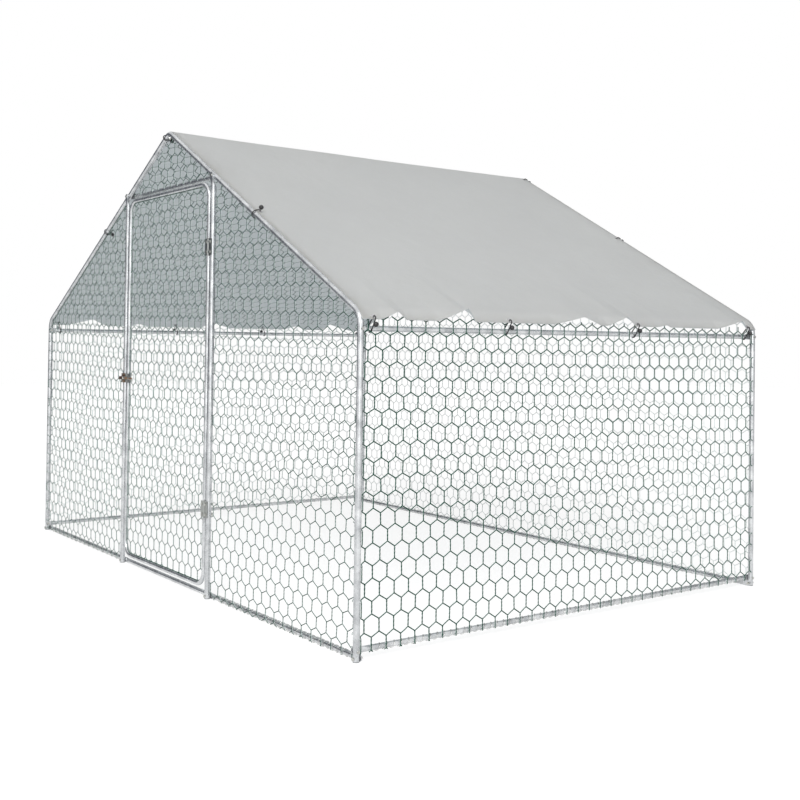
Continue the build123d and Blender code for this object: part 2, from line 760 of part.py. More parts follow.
with BuildPart() as tie_loops:
    for side, y, tube, edge, ball in eave_ties:
        add_belt(Plane.XZ.offset(-y), tube, eave_loop_r, edge, tie_edge_radius)
    for side, distance, end in rafter_ties:
        add_belt(
            rafter_tie_plane(side, distance, end),
            Vector(0, 0),
            rafter_loop_r,
            tarp_circle,
            rafter_tie_radius,
        )
save(tie_loops, "tie_loops")

# Rafter balls: front left under the tarp, front right on top of it, rear outside the rafters
ball_reach = cord_r + tie_gap + tie_ball_d / 2
lean = radians(tie_ball_lean)
_, _, run_top, run_foot = belt_tangents(Vector(0, 0), rafter_loop_r, tarp_circle, rafter_tie_radius)
inner_run = (run_top - run_foot).normalized()
under_ball = run_foot + Vector(inner_run.Y, -inner_run.X) * ball_reach
top_ball = tarp_circle + Vector(sin(lean), cos(lean)) * (rafter_tie_radius + ball_reach)
outer_ball = Vector(-rafter_loop_r - ball_reach, 0)
rafter_balls = {(-1, -1): under_ball, (1, -1): top_ball, (-1, 1): outer_ball, (1, 1): outer_ball}
with BuildPart() as tie_balls:
    for side, y, tube, edge, ball in eave_ties:
        with Locations(ball):
            Sphere(tie_ball_d / 2)
    for side, distance, end in rafter_ties:
        with Locations(rafter_tie_plane(side, distance, end).from_local_coords(rafter_balls[side, end])):
            Sphere(tie_ball_d / 2)
save(tie_balls, "tie_balls")

# Tarp: one sheet bent over the ridge and down at the eaves, puckered along its lower edges
hole_planes = [hem_plane(side, hem_hole, y) for side, y, _, _, _ in eave_ties]
for side, distance, end in rafter_ties:
    hole_planes.append(slope_plane(side, distance, end * (gable_y - rafter_hole_inset), tarp_lift))


def tarp_outline(lift):
    top = Vector(0, ridge_height + lift / cos(pitch))
    left = [hem_point(-1, tarp_hem, lift), hem_corner(-1, lift)]
    right = [hem_corner(1, lift), hem_point(1, tarp_hem, lift)]
    return left + [top] + right


under = post_r + tarp_gap
over = under + tarp_thickness
half_tarp = gable_y + tarp_overhang
with BuildPart() as roof_tarp:
    with BuildSketch(Plane.XZ) as tarp_section:
        with BuildLine():
            lower_line = FilletPolyline(*tarp_outline(under), radius=elbow_radius + under)
            upper_line = FilletPolyline(*tarp_outline(over), radius=elbow_radius + over)
            Line(lower_line @ 0, upper_line @ 0)
            Line(lower_line @ 1, upper_line @ 1)
        make_face()
    extrude(tarp_section.sketch, amount=half_tarp, both=True)
    for side, puckers in ((-1, left_puckers), (1, right_puckers)):
        for start_y, peak_y, end_y, height in puckers:
            with BuildSketch(hem_plane(side, tarp_hem, 0)) as pucker:
                with BuildLine():
                    Polyline(
                        (start_y, 0),
                        (peak_y, side * height),
                        (end_y, 0),
                        (end_y, -side * tarp_overhang),
                        (start_y, -side * tarp_overhang),
                        close=True,
                    )
                make_face()
            extrude(pucker.sketch, amount=pucker_cut, both=True, mode=Mode.SUBTRACT)
    for plane in hole_planes:
        with BuildSketch(plane) as grommet_hole:
            Circle(grommet_hole_d / 2)
        extrude(grommet_hole.sketch, amount=tarp_thickness, both=True, mode=Mode.SUBTRACT)
save(roof_tarp, "roof_tarp")

with BuildPart() as tarp_grommets:
    for plane in hole_planes:
        flange_start = tarp_thickness / 2 + grommet_gap
        with BuildSketch(plane) as barrel:
            Circle(grommet_hole_d / 2 - grommet_gap)
            Circle(grommet_bore_d / 2, mode=Mode.SUBTRACT)
        extrude(barrel.sketch, amount=flange_start + grommet_flange, both=True)
        for way in (-1, 1):
            with BuildSketch(plane.offset(way * flange_start)) as flange:
                Circle(grommet_flange_d / 2)
                Circle(grommet_bore_d / 2, mode=Mode.SUBTRACT)
            extrude(flange.sketch, amount=way * grommet_flange)
save(tarp_grommets, "tarp_grommets")

# Netting: each panel is one holed face whose hexagons stand point up
net_offset = rail_inset - rail_r - net_gap - net_thickness / 2
hex_step = net_pitch * sqrt(3) / 2
post_clear = post_r + net_gap
rafter_clear = rafter_loop_r + cord_r + tie_gap
eave_net_top = eave_tube_height - eave_loop_r - cord_r - tie_gap
hex_gap_r = (net_pitch - net_wire) / sqrt(3)
hex_gap_area = hex_gap_r**2 * 1.5 * sqrt(3)


def clip(polygon, edge_start, edge_end, inset):
    """Part of a polygon that lies left of an edge moved inward by inset."""
    run = (edge_end - edge_start).normalized()
    inward = Vector(-run.Y, run.X)
    depths = [(point - edge_start).dot(inward) - inset for point in polygon]
    kept = []
    for index, point in enumerate(polygon):
        depth = depths[index]
        last_depth = depths[index - 1]
        if depth * last_depth < 0:
            last = polygon[index - 1]
            kept.append(last + (point - last) * (last_depth / (last_depth - depth)))
        if depth >= 0:
            kept.append(point)
    return kept


def polygon_area(polygon):
    return sum(last.cross(point).Z for last, point in zip(polygon[-1:] + polygon[:-1], polygon)) / 2


def without_repeats(polygon):
    return [point for index, point in enumerate(polygon) if (point - polygon[index - 1]).length > 0.01]


def net_panel(plane, corners):
    """One panel of netting from its convex outline; the plane's x is up."""
    outline = [Vector(*corner) for corner in corners]
    if polygon_area(outline) < 0:
        outline.reverse()
    heights = [point.X for point in outline]
    widths = [point.Y for point in outline]
    rows = ceil((max(heights) - min(heights)) / hex_step) + 2
    columns = ceil((max(widths) - min(widths)) / net_pitch) + 2
    middle = Vector((max(heights) + min(heights)) / 2, (max(widths) + min(widths)) / 2)
    gap_wires = []
    with BuildSketch(plane) as net:
        with HexLocations(net_pitch / 2, rows, columns) as mesh:
            centres = [middle + spot.position for spot in mesh.local_locations]
        for centre in centres:
            turns = [radians(60 * corner) for corner in range(6)]
            gap = [centre + Vector(cos(turn), sin(turn)) * hex_gap_r for turn in turns]
            for edge_start, edge_end in zip(outline, outline[1:] + outline[:1]):
                gap = clip(gap, edge_start, edge_end, net_wire) if gap else gap
            gap = without_repeats(gap)
            if len(gap) > 2 and polygon_area(gap) > net_least_gap * hex_gap_area:
                gap_wires.append(Wire.make_polygon(gap))
        add(Face(Wire.make_polygon(outline), gap_wires))
    return net.sketch


def under_rafter(x):
    """Height of the netting's edge below a rafter."""
    return ridge_height - abs(x) * tan(pitch) - rafter_clear / cos(pitch)


def wall_plane(normal, distance):
    """Upright plane at a distance along its normal, with local x up."""
    return Plane(origin=normal * distance, x_dir=(0, 0, 1), z_dir=normal)


# Side walls: two strips each, from the side rail up to the eave ties
for side in (-1, 1):
    plane = wall_plane(Vector(side, 0, 0), half_width - net_offset)
    wall_end = gable_y - post_clear
    with BuildPart() as side_net:
        for low_y, high_y in ((-wall_end, -net_gap), (net_gap, wall_end)):
            corners = [(side_rail_height, low_y), (side_rail_height, high_y)]
            corners += [(eave_net_top, high_y), (eave_net_top, low_y)]
            strip = net_panel(plane, [(z, -y * side) for z, y in corners])
            extrude(strip, amount=net_thickness / 2, both=True)
    save(side_net, f"net_{side_words[side]}")

# Gables: trapezoid strips under the rafters, cut back from the bends of the tubes
wall_x = half_width - one_tab - nut_height - bolt_tail - net_gap
cut_x = half_width - eave_tangent - post_clear
cut_z = eave_height - eave_tangent - post_clear
apex_z = apex_height - ridge_net_drop
apex_x = (ridge_height - rafter_clear / cos(pitch) - apex_z) / tan(pitch)


def gable_outline(low_x, high_x, base_z):
    """Corners of a gable strip between two x values, going round."""
    top = []
    for x in (high_x, low_x):
        if abs(x) >= cut_x:
            bend = [(cut_z, x), (under_rafter(cut_x), cut_x if x > 0 else -cut_x)]
            top += bend if x > 0 else bend[::-1]
        elif under_rafter(x) > base_z + net_wire:
            top.append((under_rafter(x), x))
    if low_x < 0 < high_x:
        crown = [(apex_z, apex_x), (apex_z, -apex_x)]
        top = top[: len(top) // 2] + crown + top[len(top) // 2 :]
    return [(base_z, low_x), (base_z, high_x)] + top


def gable_net(end, low_x, high_x, base_z, inset=net_offset):
    plane = wall_plane(Vector(0, end, 0), gable_y - inset)
    return net_panel(plane, [(z, x * end) for z, x in gable_outline(low_x, high_x, base_z)])


header_net_x = (ridge_height - rafter_clear / cos(pitch) - header_height) / tan(pitch)
door_side_x = door_post_x + post_clear
top_net_inset = post_r + seat_gap - net_gap - net_thickness / 2
front_nets = [
    ("net_front_left", -wall_x, -door_side_x, gable_rail_height, net_offset),
    ("net_front_right", door_side_x, wall_x, gable_rail_height, net_offset),
    ("net_front_top", -header_net_x, header_net_x, header_height, top_net_inset),
]
for name, low_x, high_x, base_z, inset in front_nets:
    with BuildPart() as front_net:
        extrude(gable_net(-1, low_x, high_x, base_z, inset), amount=net_thickness / 2, both=True)
    save(front_net, name)

seam_x = net_roll_width / 2
rear_strips = [
    (-wall_x, -seam_x - net_gap),
    (-seam_x + net_gap, seam_x - net_gap),
    (seam_x + net_gap, wall_x),
]
with BuildPart() as rear_net:
    for low_x, high_x in rear_strips:
        extrude(gable_net(1, low_x, high_x, gable_rail_height), amount=net_thickness / 2, both=True)
save(rear_net, "net_rear")

# Door netting, inside the rounded door frame
stile_clear = rail_r + net_gap
inner_r = door_corner_radius - stile_clear
door_middle_x = (latch_stile_x + hinge_stile_x) / 2
door_reach_x = (hinge_stile_x - latch_stile_x) / 2 - stile_clear - inner_r
door_middle_z = (door_bottom + door_top) / 2
door_reach_z = (door_top - door_bottom) / 2 - stile_clear - inner_r
door_outline = []
for quarter, (z_way, x_way) in enumerate(((1, 1), (-1, 1), (-1, -1), (1, -1))):
    for step in range(net_corner_steps + 1):
        turn = radians(90 * (quarter + step / net_corner_steps))
        z = door_middle_z + z_way * door_reach_z + inner_r * cos(turn)
        x = door_middle_x + x_way * door_reach_x + inner_r * sin(turn)
        door_outline.append((z, -x))
with BuildPart() as door_net:
    door_sheet = net_panel(wall_plane(OUT_FRONT, -door_y), door_outline)
    extrude(door_sheet, amount=net_thickness / 2, both=True)
save(door_net, "door_net")
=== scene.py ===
import json
import math

import bpy
import numpy as np
from mathutils import Matrix, Vector


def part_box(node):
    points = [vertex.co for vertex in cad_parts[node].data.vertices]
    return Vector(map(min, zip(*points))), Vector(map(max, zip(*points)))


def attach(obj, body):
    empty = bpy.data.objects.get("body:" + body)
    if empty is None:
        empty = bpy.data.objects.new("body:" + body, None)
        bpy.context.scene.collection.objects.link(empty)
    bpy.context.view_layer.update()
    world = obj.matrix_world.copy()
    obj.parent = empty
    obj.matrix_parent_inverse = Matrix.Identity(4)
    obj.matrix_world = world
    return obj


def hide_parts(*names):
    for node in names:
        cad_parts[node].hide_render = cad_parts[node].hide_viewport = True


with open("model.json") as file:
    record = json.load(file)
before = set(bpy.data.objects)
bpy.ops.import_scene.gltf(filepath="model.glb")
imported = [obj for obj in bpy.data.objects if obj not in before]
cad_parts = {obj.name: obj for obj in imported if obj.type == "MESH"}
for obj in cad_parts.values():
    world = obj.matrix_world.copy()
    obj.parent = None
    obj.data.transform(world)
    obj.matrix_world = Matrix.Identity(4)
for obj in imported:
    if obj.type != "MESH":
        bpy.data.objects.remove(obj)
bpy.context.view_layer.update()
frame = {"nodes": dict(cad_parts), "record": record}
random_seed = 7
rng = np.random.default_rng(random_seed)


def middle(node, axis):
    """Middle of a node's box along an axis, named x, y or z."""
    low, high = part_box(node)
    return (getattr(low, axis) + getattr(high, axis)) / 2


def half_size(node, axis):
    low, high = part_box(node)
    return (getattr(high, axis) - getattr(low, axis)) / 2


# Sizes of the frame, in metres
half_width = middle("corner_post_front_right", "x")
gable_y = -middle("corner_post_front_right", "y")
post_r = half_size("corner_post_front_right", "x")
rail_r = half_size("rear_rail_middle", "z")
gable_rail_z = middle("rear_rail_middle", "z")
side_rail_x = middle("side_rail_right_front", "x")
side_rail_z = middle("side_rail_right_front", "z")
eave_tube_z = middle("eave_tube_right_front", "z")
door_post_x = middle("door_post_right_lower", "x")
door_header_z = middle("door_header", "z")
eave_height = 1.106
ridge_height = 1.9
elbow_radius = 0.06
pitch = math.atan2(ridge_height - eave_height, half_width)
rafter_length = math.hypot(half_width, ridge_height - eave_height)
eave_tangent = elbow_radius * math.tan((math.pi / 2 - pitch) / 2)


# Shader helpers


def linear(*srgb):
    """A colour written in sRGB, as the shader wants it."""
    return [c / 12.92 if c <= 0.04045 else ((c + 0.055) / 1.055) ** 2.4 for c in srgb] + [1.0]


def new_material(name):
    material = bpy.data.materials.new(name)
    material.use_nodes = True
    tree = material.node_tree
    return material, tree, tree.nodes["Principled BSDF"]


def add_node(tree, kind, **values):
    """A shader node with its settings, and with inputs given by name."""
    node = tree.nodes.new(kind)
    for key, value in values.items():
        if key in node.inputs:
            node.inputs[key].default_value = value
        else:
            setattr(node, key, value)
    return node


def object_coordinates(tree):
    return tree.nodes.new("ShaderNodeTexCoord").outputs["Object"]


def map_range(tree, value, source=(0.0, 1.0), target=(0.0, 1.0)):
    """A value carried over from one span to another, and kept within it."""
    node = tree.nodes.new("ShaderNodeMapRange")
    for key, limit in zip(("From Min", "From Max", "To Min", "To Max"), (*source, *target)):
        node.inputs[key].default_value = limit
    tree.links.new(value, node.inputs["Value"])
    return node.outputs["Result"]


def noise(tree, coordinates, scale, detail, **values):
    node = add_node(tree, "ShaderNodeTexNoise", Scale=scale, Detail=detail, **values)
    tree.links.new(coordinates, node.inputs["Vector"])
    return node.outputs["Fac"]


# The parts of a noise's range over which a colour and a roughness drift
colour_span = (0.32, 0.68)
rough_span = (0.3, 0.7)


def noise_ramp(tree, coordinates, scale, low, high, detail=3.0):
    """A colour that drifts between two values with a noise."""
    ramp = tree.nodes.new("ShaderNodeValToRGB")
    for element, position, colour in zip(ramp.color_ramp.elements, colour_span, (low, high)):
        element.position = position
        element.color = colour
    tree.links.new(noise(tree, coordinates, scale, detail), ramp.inputs["Fac"])
    return ramp.outputs["Color"]


def vary_roughness(tree, shader, coordinates, scale, low, high):
    """Roughness that drifts between two values with a noise."""
    patches = noise(tree, coordinates, scale, detail=2.0)
    drift = map_range(tree, patches, source=rough_span, target=(low, high))
    tree.links.new(drift, shader.inputs["Roughness"])


def add_bump(tree, shader, height, strength, distance):
    bump = add_node(tree, "ShaderNodeBump", Strength=strength, Distance=distance)
    tree.links.new(height, bump.inputs["Height"])
    tree.links.new(bump.outputs["Normal"], shader.inputs["Normal"])


# Places of the colour sockets on a mix node
mix_first = 6
mix_second = 7
mix_result = 2


def colour_mix(tree, share, first, blend_type="MIX"):
    """A mix node with its share and first colour linked; its second colour is still to be given."""
    node = add_node(tree, "ShaderNodeMix", data_type="RGBA", blend_type=blend_type)
    tree.links.new(share, node.inputs["Factor"])
    tree.links.new(first, node.inputs[mix_first])
    return node


# Materials
spangle_tint = (0.88, 1.06)
metal_smoother = 0.07
metal_duller = 0.08
plastic_smoother = 0.06
plastic_duller = 0.08
wire_outside = linear(0.0, 0.22, 0.16)
wire_outside_pale = linear(0.02, 0.285, 0.215)
# Near-white colours for the wires' inward faces: painted light, standing for glare that washes out
# the far netting
wire_glare_painted = linear(0.875, 0.917, 0.908)
wire_glare_painted_pale = linear(0.93, 0.95, 0.947)
wire_turn = (0.05, 0.45)
tarp_colour = linear(0.734, 0.718, 0.694)
tarp_colour_pale = linear(0.757, 0.741, 0.716)
# Tint that makes the tarp's underside paler and cooler: painted light under the roof
tarp_painted_underside_tint = (1.06, 1.14, 1.165, 1.0)
tarp_glow_colour = linear(0.937, 0.953, 0.968)
tarp_glow = 0.575


def metal(name, low, high, rough, spangle_scale, metallic=1.0):
    """Zinc-coated steel: crystal spangle in the colour, patchy roughness and a fine grain."""
    material, tree, shader = new_material(name)
    place = object_coordinates(tree)
    shader.inputs["Metallic"].default_value = metallic
    drift = noise_ramp(tree, place, scale=18.0, low=low, high=high)
    spangle = add_node(tree, "ShaderNodeTexVoronoi", Scale=spangle_scale)
    tree.links.new(place, spangle.inputs["Vector"])
    grey = tree.nodes.new("ShaderNodeRGBToBW")
    tree.links.new(spangle.outputs["Color"], grey.inputs["Color"])
    scaled = add_node(tree, "ShaderNodeVectorMath", operation="SCALE")
    tree.links.new(drift, scaled.inputs[0])
    tree.links.new(map_range(tree, grey.outputs["Val"], target=spangle_tint), scaled.inputs["Scale"])
    tree.links.new(scaled.outputs["Vector"], shader.inputs["Base Color"])
    vary_roughness(
        tree, shader, place, scale=60.0, low=rough - metal_smoother, high=rough + metal_duller
    )
    grain = noise(tree, place, scale=900.0, detail=2.0)
    add_bump(tree, shader, grain, strength=0.12, distance=0.0004)
    return material


def plastic(name, low, high, rough, scale, bump=0.1):
    """Moulded plastic: slightly cloudy, with a fine grain."""
    material, tree, shader = new_material(name)
    place = object_coordinates(tree)
    patch_scale = 2 * scale
    grain_scale = 8 * scale
    tree.links.new(noise_ramp(tree, place, scale, low, high), shader.inputs["Base Color"])
    vary_roughness(
        tree, shader, place, patch_scale, low=rough - plastic_smoother, high=rough + plastic_duller
    )
    grain = noise(tree, place, grain_scale, detail=3.0)
    add_bump(tree, shader, grain, strength=bump, distance=0.0005)
    return material


def coated_wire(name, outward):
    """Coated wire, dark outside; the side that faces into the run is painted near white, painted
    light standing for glare that washes it out.
    """
    material, tree, shader = new_material(name)
    place = tree.nodes.new("ShaderNodeTexCoord")
    turned = add_node(tree, "ShaderNodeVectorMath", operation="DOT_PRODUCT")
    turned.inputs[1].default_value = outward
    tree.links.new(place.outputs["Normal"], turned.inputs[0])
    outside = map_range(tree, turned.outputs["Value"], source=wire_turn)
    spot = place.outputs["Object"]
    # The inward side gets painted glare: a near-white colour standing for washed-out light, not a
    # colour of the wire
    painted_glare = noise_ramp(tree, spot, scale=70.0, low=wire_glare_painted, high=wire_glare_painted_pale)
    outside_coat = noise_ramp(tree, spot, scale=90.0, low=wire_outside, high=wire_outside_pale)
    coat = colour_mix(tree, outside, painted_glare)
    tree.links.new(outside_coat, coat.inputs[mix_second])
    tree.links.new(coat.outputs[mix_result], shader.inputs["Base Color"])
    vary_roughness(tree, shader, spot, scale=180.0, low=0.5, high=0.65)
    shader.inputs["Specular IOR Level"].default_value = 0.04
    return material


def braided(name, low, high):
    """Elastic cord sleeve: diagonal bands of fine yarn."""
    material, tree, shader = new_material(name)
    place = object_coordinates(tree)
    yarn = noise_ramp(tree, place, scale=500.0, low=low, high=high)
    tree.links.new(yarn, shader.inputs["Base Color"])
    shader.inputs["Roughness"].default_value = 0.75
    bands = add_node(
        tree, "ShaderNodeTexWave", Scale=420.0, Distortion=1.5, bands_direction="DIAGONAL"
    )
    tree.links.new(place, bands.inputs["Vector"])
    add_bump(tree, shader, bands.outputs["Fac"], strength=0.5, distance=0.0006)
    return material


def tarp_cloth(name):
    """Coated woven sheet: flat tapes each way, faint clouds and crease lines; the underside is
    painted paler and cooler, painted light under the roof.
    """
    material, tree, shader = new_material(name)
    place = tree.nodes.new("ShaderNodeTexCoord")
    flat = place.outputs["UV"]
    cloudy = noise_ramp(
        tree, flat, scale=2.2, low=tarp_colour, high=tarp_colour_pale, detail=5.0
    )
    # Faces turned downward get the paler tint: painted light on the underside
    facing = tree.nodes.new("ShaderNodeSeparateXYZ")
    tree.links.new(place.outputs["Normal"], facing.inputs["Vector"])
    under = add_node(tree, "ShaderNodeMath", operation="LESS_THAN")
    tree.links.new(facing.outputs["Z"], under.inputs[0])
    under.inputs[1].default_value = 0.0
    painted_underside = colour_mix(tree, under.outputs["Value"], cloudy, blend_type="MULTIPLY")
    painted_underside.inputs[mix_second].default_value = tarp_painted_underside_tint
    tree.links.new(painted_underside.outputs[mix_result], shader.inputs["Base Color"])
    vary_roughness(tree, shader, flat, scale=9.0, low=0.42, high=0.58)
    shader.inputs["Sheen Weight"].default_value = 0.08
    weave = add_node(tree, "ShaderNodeMath", operation="MULTIPLY")
    for socket, direction in enumerate(("X", "Y")):
        tape = add_node(
            tree, "ShaderNodeTexWave", Scale=95.0, Distortion=0.4, bands_direction=direction
        )
        tree.links.new(flat, tape.inputs["Vector"])
        tree.links.new(tape.outputs["Fac"], weave.inputs[socket])
    crumple = noise(tree, flat, scale=6.0, detail=6.0, Roughness=0.62)
    fine = add_node(tree, "ShaderNodeBump", Strength=0.35, Distance=0.0008)
    tree.links.new(weave.outputs["Value"], fine.inputs["Height"])
    broad = add_node(tree, "ShaderNodeBump", Strength=0.35, Distance=0.02)
    tree.links.new(crumple, broad.inputs["Height"])
    tree.links.new(fine.outputs["Normal"], broad.inputs["Normal"])
    tree.links.new(broad.outputs["Normal"], shader.inputs["Normal"])
    glow = add_node(tree, "ShaderNodeBsdfTranslucent", Color=tarp_glow_colour)
    tree.links.new(broad.outputs["Normal"], glow.inputs["Normal"])
    thin = add_node(tree, "ShaderNodeMixShader", Fac=tarp_glow)
    tree.links.new(shader.outputs["BSDF"], thin.inputs[1])
    tree.links.new(glow.outputs["BSDF"], thin.inputs[2])
    tree.links.new(thin.outputs["Shader"], tree.nodes["Material Output"].inputs["Surface"])
    return material


galvanised = metal(
    "galvanised_tube",
    linear(0.69, 0.7, 0.71),
    linear(0.86, 0.867, 0.873),
    rough=0.26,
    spangle_scale=160.0,
    metallic=0.84,
)
zinc = metal(
    "zinc_fastener",
    linear(0.7, 0.7, 0.69),
    linear(0.82, 0.82, 0.8),
    rough=0.3,
    spangle_scale=420.0,
)
hinge_steel = metal(
    "hinge_steel",
    linear(0.6, 0.61, 0.6),
    linear(0.72, 0.73, 0.72),
    rough=0.36,
    spangle_scale=380.0,
)
grommet_metal = metal(
    "grommet_metal",
    linear(0.76, 0.76, 0.77),
    linear(0.86, 0.86, 0.87),
    rough=0.25,
    spangle_scale=500.0,
)
bronze = metal(
    "bronze_plating",
    linear(0.5, 0.38, 0.28),
    linear(0.66, 0.53, 0.41),
    rough=0.36,
    spangle_scale=380.0,
)
ball_plastic = plastic(
    "ball_plastic",
    linear(0.1, 0.1, 0.105),
    linear(0.16, 0.16, 0.165),
    rough=0.35,
    scale=160.0,
    bump=0.06,
)
foot_plastic = plastic(
    "foot_plastic",
    linear(0.5, 0.51, 0.52),
    linear(0.58, 0.59, 0.6),
    rough=0.5,
    scale=140.0,
)
cord_sleeve = braided("cord_sleeve", linear(0.11, 0.11, 0.115), linear(0.18, 0.18, 0.185))
tarp_sheet = tarp_cloth("tarp_sheet")

slot_materials = {
    "tube": galvanised,
    "fastener": zinc,
    "hinge": hinge_steel,
    "latch": zinc,
    "grommet": grommet_metal,
    "ball": ball_plastic,
    "cord": cord_sleeve,
    "foot": foot_plastic,
}
for entry in frame["record"]["subparts"]:
    node = frame["nodes"][entry["node"]]
    if entry["material_slot"] in slot_materials:
        node.data.materials.clear()
        node.data.materials.append(slot_materials[entry["material_slot"]])
for name in ("latch_keeper", "latch_bolt"):
    frame["nodes"][name].data.materials[0] = bronze


# Geometry helpers


def make_piece(name, vertices, faces, material, body, nodes):
    mesh = bpy.data.meshes.new(name)
    mesh.from_pydata(np.asarray(vertices).tolist(), [], np.asarray(faces).tolist())
    mesh.polygons.foreach_set("use_smooth", [True] * len(mesh.polygons))
    mesh.materials.append(material)
    mesh.update()
    piece = bpy.data.objects.new(name, mesh)
    bpy.context.scene.collection.objects.link(piece)
    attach(piece, body)
    if nodes:
        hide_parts(*nodes)
    return piece


def joined(parts):
    """Vertices and faces of several meshes as one."""
    vertices, faces, start = [], [], 0
    for part_vertices, part_faces in parts:
        vertices.append(part_vertices)
        faces.append(part_faces + start)
        start += len(part_vertices)
    return np.concatenate(vertices), np.concatenate(faces)


def wires(paths, radius, sides, facing):
    """Round wires along paths, an array of wires by points by xyz; facing is a way across them."""
    paths = np.asarray(paths, float)
    along = np.gradient(paths, axis=1)
    along /= np.linalg.norm(along, axis=2, keepdims=True)
    across = np.cross(along, facing)
    across /= np.linalg.norm(across, axis=2, keepdims=True)
    out = np.cross(across, along)
    turns = np.arange(sides)[:, None] * 2 * np.pi / sides
    ring = np.cos(turns) * across[:, :, None, :] + np.sin(turns) * out[:, :, None, :]
    vertices = paths[:, :, None, :] + radius * ring
    index = np.arange(vertices[..., 0].size).reshape(vertices.shape[:3])
    beside = np.roll(index, -1, axis=2)
    corners = [index[:, :-1], beside[:, :-1], beside[:, 1:], index[:, 1:]]
    return vertices.reshape(-1, 3), np.stack(corners, axis=-1).reshape(-1, 4)


def rectangle(half_run, low, high):
    """Corners of a panel centred on its run, going round anticlockwise."""
    return [(-half_run, low), (half_run, low), (half_run, high), (-half_run, high)]


# Netting: twisted hexagon mesh, with its twists upright
# The twist's length is a share of a row, and its strands' spread a share of the wire's radius
mesh_pitch = 0.058
mesh_row = 0.052
mesh_margin = 3
mesh_jitter = 0.0005
wire_r = 0.0016
wall_wire_r = 0.0022
twist_share = 0.69
twist_spread = 0.4
twist_turns = 1.5
twist_points = 7
twist_sides = 4
slant_points = 6
slant_sides = 5
slant_sag = 0.0008
edge_points = 24
edge_sides = 6
edge_thickening = 1.3
least_stub = 0.06
parallel_rate = 1e-12


class Mesh:
    """How a strip's hexagons lie: the middle of one twist, the spacings, and how it is askew."""

    def __init__(
        self,
        anchor,
        pitch=mesh_pitch,
        row=mesh_row,
        skew=0.0,
        lean=0.0,
        stretch=0.0,
        wire=wire_r,
    ):
        self.anchor = anchor
        self.pitch = pitch
        self.row = row
        self.skew = skew
        self.lean = lean
        self.stretch = stretch
        self.wire = wire

    def twist_ends(self, low, high):
        """Lower and upper ends of all twists that reach into a box, and each row's number."""
        spacing = (self.pitch, self.row)
        low = np.floor((low - self.anchor) / spacing).astype(int) - mesh_margin
        high = np.ceil((high - self.anchor) / spacing).astype(int) + mesh_margin + 1
        row = np.arange(low[1], high[1])[:, None]
        across = (np.arange(low[0], high[0])[None, :] + 0.5 * (row % 2)) * self.pitch
        up = row * self.row - self.stretch * row**2 + 0 * across
        middles = np.stack([across + self.lean * up, up + self.skew * across], axis=-1) + self.anchor
        half = twist_share * (self.row - 2 * self.stretch * row) / 2 + 0 * across
        half = np.stack([self.lean * half, half], axis=-1)
        shake = rng.normal(0.0, mesh_jitter, (2, *middles.shape))
        return middles - half + shake[0], middles + half + shake[1], row[:, 0]


def clip_segments(starts, ends, outline):
    """The parts of segments that lie inside a convex outline, without the shortest stubs."""
    enter = np.zeros(len(starts))
    leave = np.ones(len(starts))
    run = ends - starts
    corners = np.asarray(outline, float)
    for corner, following in zip(corners, np.roll(corners, -1, axis=0)):
        edge = following - corner
        inward = np.array([-edge[1], edge[0]])
        depth = (starts - corner) @ inward
        rate = run @ inward
        slanted = np.abs(rate) > parallel_rate
        crossing = np.divide(-depth, rate, out=np.zeros_like(depth), where=slanted)
        enter = np.where(rate > parallel_rate, np.maximum(enter, crossing), enter)
        leave = np.where(rate < -parallel_rate, np.minimum(leave, crossing), leave)
        leave = np.where(~slanted & (depth < 0), -1.0, leave)
    kept = leave - enter > least_stub
    clipped_starts = starts + run * enter[:, None]
    clipped_ends = starts + run * leave[:, None]
    return clipped_starts[kept], clipped_ends[kept]


def hex_mesh(outline, mesh):
    """Twists and slants of hexagon netting inside an outline, as starts and ends in the panel."""
    corners = np.asarray(outline, float)
    bottom, top, row = mesh.twist_ends(corners.min(axis=0), corners.max(axis=0))
    row_count, column_count = bottom.shape[:2]
    slants = []
    for r in range(row_count - 1):
        shift = row[r] % 2
        for step in (shift - 1, shift):
            first = max(0, -step)
            last = min(column_count, column_count - step)
            ends = bottom[r + 1, first + step : last + step]
            slants.append(np.stack([top[r, first:last], ends], axis=1))
    slants = np.concatenate(slants)
    twists = clip_segments(bottom.reshape(-1, 2), top.reshape(-1, 2), outline)
    return twists, clip_segments(slants[:, 0], slants[:, 1], outline)


def net_wires(place, facing, outline, edges, mesh):
    """All the wires of one strip; place turns panel points and a height off the panel into xyz."""
    (twist_low, twist_high), (slant_low, slant_high) = hex_mesh(outline, mesh)
    parts = []
    share = np.linspace(0, 1, twist_points)[None, :, None]
    core = twist_low[:, None] + (twist_high - twist_low)[:, None] * share
    angle = 2 * np.pi * twist_turns * share[..., 0] + rng.uniform(0, np.pi, (len(core), 1))
    for strand in (0, np.pi):
        lean = twist_spread * mesh.wire * np.cos(angle + strand)
        rise = twist_spread * mesh.wire * np.sin(angle + strand)
        path = place(core[..., 0] + lean, core[..., 1], rise)
        parts.append(wires(path, mesh.wire, twist_sides, facing))
    share = np.linspace(0, 1, slant_points)[None, :, None]
    slant = slant_low[:, None] + (slant_high - slant_low)[:, None] * share
    sag = rng.normal(0.0, slant_sag, (len(slant), 1)) * np.sin(np.pi * share[..., 0])
    parts.append(wires(place(slant[..., 0], slant[..., 1], sag), mesh.wire, slant_sides, facing))
    share = np.linspace(0, 1, edge_points)[None, :, None]
    for start, end in edges:
        line = np.array(start) + (np.array(end) - np.array(start)) * share
        path = place(line[..., 0], line[..., 1], 0 * line[..., 0])
        parts.append(wires(path, mesh.wire * edge_thickening, edge_sides, facing))
    return parts


